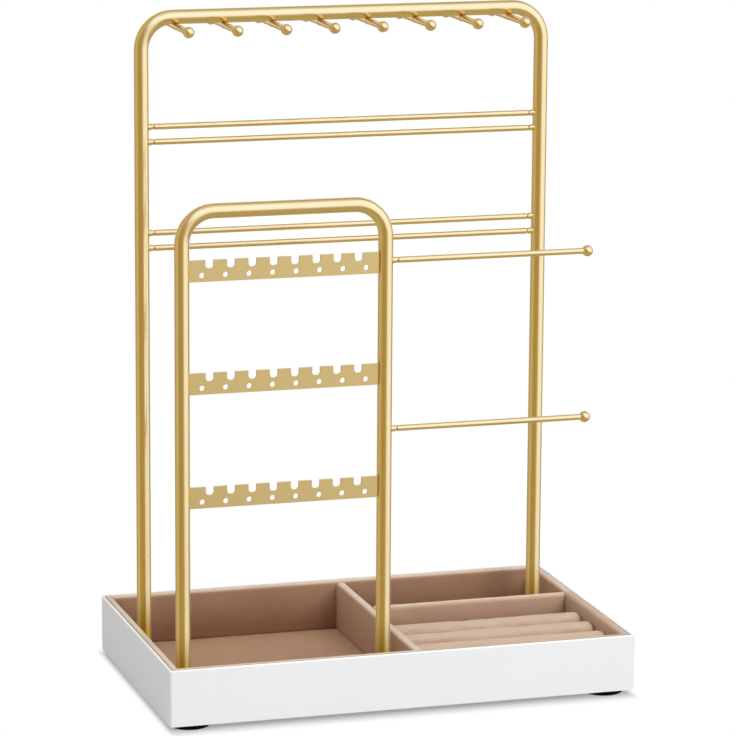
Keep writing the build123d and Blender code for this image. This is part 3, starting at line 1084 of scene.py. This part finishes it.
# %% Shapes and tones of the sky
towards_camera = (-0.293, -0.956)
right_of_camera = (0.956, -0.293)
box_lean = 67.0  # degrees by which the right box widens from level to overhead

# Where an edge starts and where it is full:
right_box_near, right_box_far, right_box_foot = (8.0, 30.0), (100.0, 122.0), (-0.42, -0.22)
right_box_rise = (-0.05, 0.40)
backdrop_side, overhead_edge, room_foot = (128.0, 144.0), (0.85, 1.0), (-0.60, -0.32)

# Where a patch starts, is full, begins to fade and ends:
left_box_angles = (-118.0, -98.0, -66.0, -46.0)
screen_angles, screen_heights = (-60.0, -42.0, 4.0, 20.0), (-0.62, -0.42, 0.32, 0.55)
backdrop_heights = (-0.22, -0.02, 0.45, 0.75)
sky_tones = {
    "room_low": (0.55, 0.51, 0.34),
    "room": (0.50, 0.46, 0.36),
    "backdrop": (1.0, 1.0, 1.0),
    "left_box": (0.70, 0.64, 0.46),
    "screen": (0.485, 0.403, 0.168),
    "right_box_low": (1.25, 1.42, 1.85),
    "right_box_high": (1.25, 1.50, 2.25),
    "overhead": (0.80, 0.85, 0.95),
}
print("the sky has", len(sky_tones), "tones")

# %% Studio sky
sky_fill = 0.52


def band(value, start, full, fading, end):
    """1 where a value lies between full and fading, and 0 before start and after end."""
    return ramp_up(value, start, full) * (1.0 - ramp_up(value, fading, end))


def painted_sky(tree):
    """The colour of the sky in each direction, as reflections see it."""
    x, y, up = components(make_node(tree, "TexCoord", output="Generated"))
    ahead = x * towards_camera[0] + y * towards_camera[1]
    sideways = x * right_of_camera[0] + y * right_of_camera[1]
    angle = sideways.math("ARCTAN2", ahead) * (180.0 / math.pi)
    right_box = ramp_up(angle + box_lean * up, *right_box_near)
    right_box = right_box * (1.0 - ramp_up(angle, *right_box_far)) * ramp_up(up, *right_box_foot)
    left_box = band(angle, *left_box_angles)
    screen = band(angle, *screen_angles) * band(up, *screen_heights)
    overhead = ramp_up(up, *overhead_edge)
    backdrop = ramp_up(abs(angle), *backdrop_side) * band(up, *backdrop_heights)
    low_box, high_box = sky_tones["right_box_low"], sky_tones["right_box_high"]
    box = mix_colour(ramp_up(up, *right_box_rise), low_box, high_box)
    room_level = ramp_up(up, *room_foot)
    colour = mix_colour(room_level, sky_tones["room_low"], sky_tones["room"])
    colour = mix_colour(backdrop, colour, sky_tones["backdrop"])
    colour = mix_colour(left_box, colour, sky_tones["left_box"])
    colour = mix_colour(screen, colour, sky_tones["screen"])
    colour = mix_colour(right_box, colour, box)
    return mix_colour(overhead, colour, sky_tones["overhead"])


def studio_sky():
    """White for the camera, soft fill for surfaces, and painted softboxes for reflections."""
    world = bpy.data.worlds.new("studio_sky")
    bpy.context.scene.world = world
    world.use_nodes = True
    tree = world.node_tree
    tree.nodes.clear()
    painted = make_node(tree, "Background", Color=painted_sky(tree), Strength=1.0)
    fill = make_node(tree, "Background", Color=white, Strength=sky_fill)
    plain = make_node(tree, "Background", Color=white, Strength=1.0)
    glossy_ray = make_node(tree, "LightPath", output="Is Glossy Ray")
    camera_ray = make_node(tree, "LightPath", output="Is Camera Ray")
    reflected = make_node(tree, "MixShader", _0=glossy_ray, _1=fill, _2=painted)
    shown = make_node(tree, "MixShader", _0=camera_ray, _1=reflected, _2=plain)
    make_node(tree, "OutputWorld", Surface=shown)
    return world


print("made", studio_sky().name)

# %% [markdown]
# Three large soft lamps light the stand. The key stands high at the right and in front, a broad
# panel hangs overhead for the velvet, and a weaker panel fills the left wall.

# %% Lamps
lit_middle = (0.0, 0.0, 0.12)


def soft_panel(name, place, size, power, tint=(1.0, 1.0, 1.0)):
    """A square area lamp at a place, turned to face the middle of the stand."""
    light = bpy.data.lights.new(name, "AREA")
    light.shape = "SQUARE"
    light.size = size
    light.energy = power
    light.color = tint
    lamp = bpy.data.objects.new(name, light)
    bpy.context.scene.collection.objects.link(lamp)
    lamp.location = place
    lamp.visible_glossy = False
    aim = Vector(lit_middle) - Vector(place)
    lamp.rotation_euler = aim.to_track_quat("-Z", "Y").to_euler()
    return lamp


lamps = [
    soft_panel("key_panel", (0.7, -1.6, 1.1), size=0.9, power=15.9, tint=(1.0, 0.99, 0.975)),
    soft_panel("top_panel", (0.0, 0.0, 1.9), size=1.2, power=9.5),
    soft_panel("left_panel", (-1.2, -1.2, 1.0), size=0.8, power=4.4, tint=(0.97, 0.985, 1.0)),
]
print("lamps in watts:", {lamp.name: round(lamp.data.energy, 1) for lamp in lamps})

# %% [markdown]
# The camera stands where the photograph was taken. Its place, its three angles and its lens were
# found by moving a model camera until the stand's corners, bars and legs fell on the ones that
# the photograph shows.

# %% Camera
photo_angles = (17.0376, 11.8446, 0.3708)  # degrees of yaw, pitch and roll
photo_place = (-0.56619, -1.85236, 0.56610)
photo_lens = 192.255  # focal length in mm on a sensor 36 mm wide


def photo_camera():
    """The camera that sees the stand as the photograph does."""
    yaw, pitch, roll = [math.radians(angle) for angle in photo_angles]
    level_share, fall = math.cos(pitch), math.sin(pitch)
    ahead = Vector((math.sin(yaw) * level_share, math.cos(yaw) * level_share, -fall))
    level = Vector((math.cos(yaw), -math.sin(yaw), 0.0))
    upright = level.cross(ahead)
    right = math.cos(roll) * level + math.sin(roll) * upright
    up = math.cos(roll) * upright - math.sin(roll) * level
    turn = Matrix((right, up, -ahead)).transposed().to_4x4()
    data = bpy.data.cameras.new("photo_camera")
    data.sensor_width = 36.0
    data.lens = photo_lens
    data.clip_end = 100.0
    camera = bpy.data.objects.new("photo_camera", data)
    bpy.context.scene.collection.objects.link(camera)
    camera.matrix_world = Matrix.Translation(photo_place) @ turn
    return camera


bpy.context.scene.camera = photo_camera()
bpy.context.scene.view_settings.view_transform = "Standard"
print("camera at", [round(value, 3) for value in bpy.context.scene.camera.location])
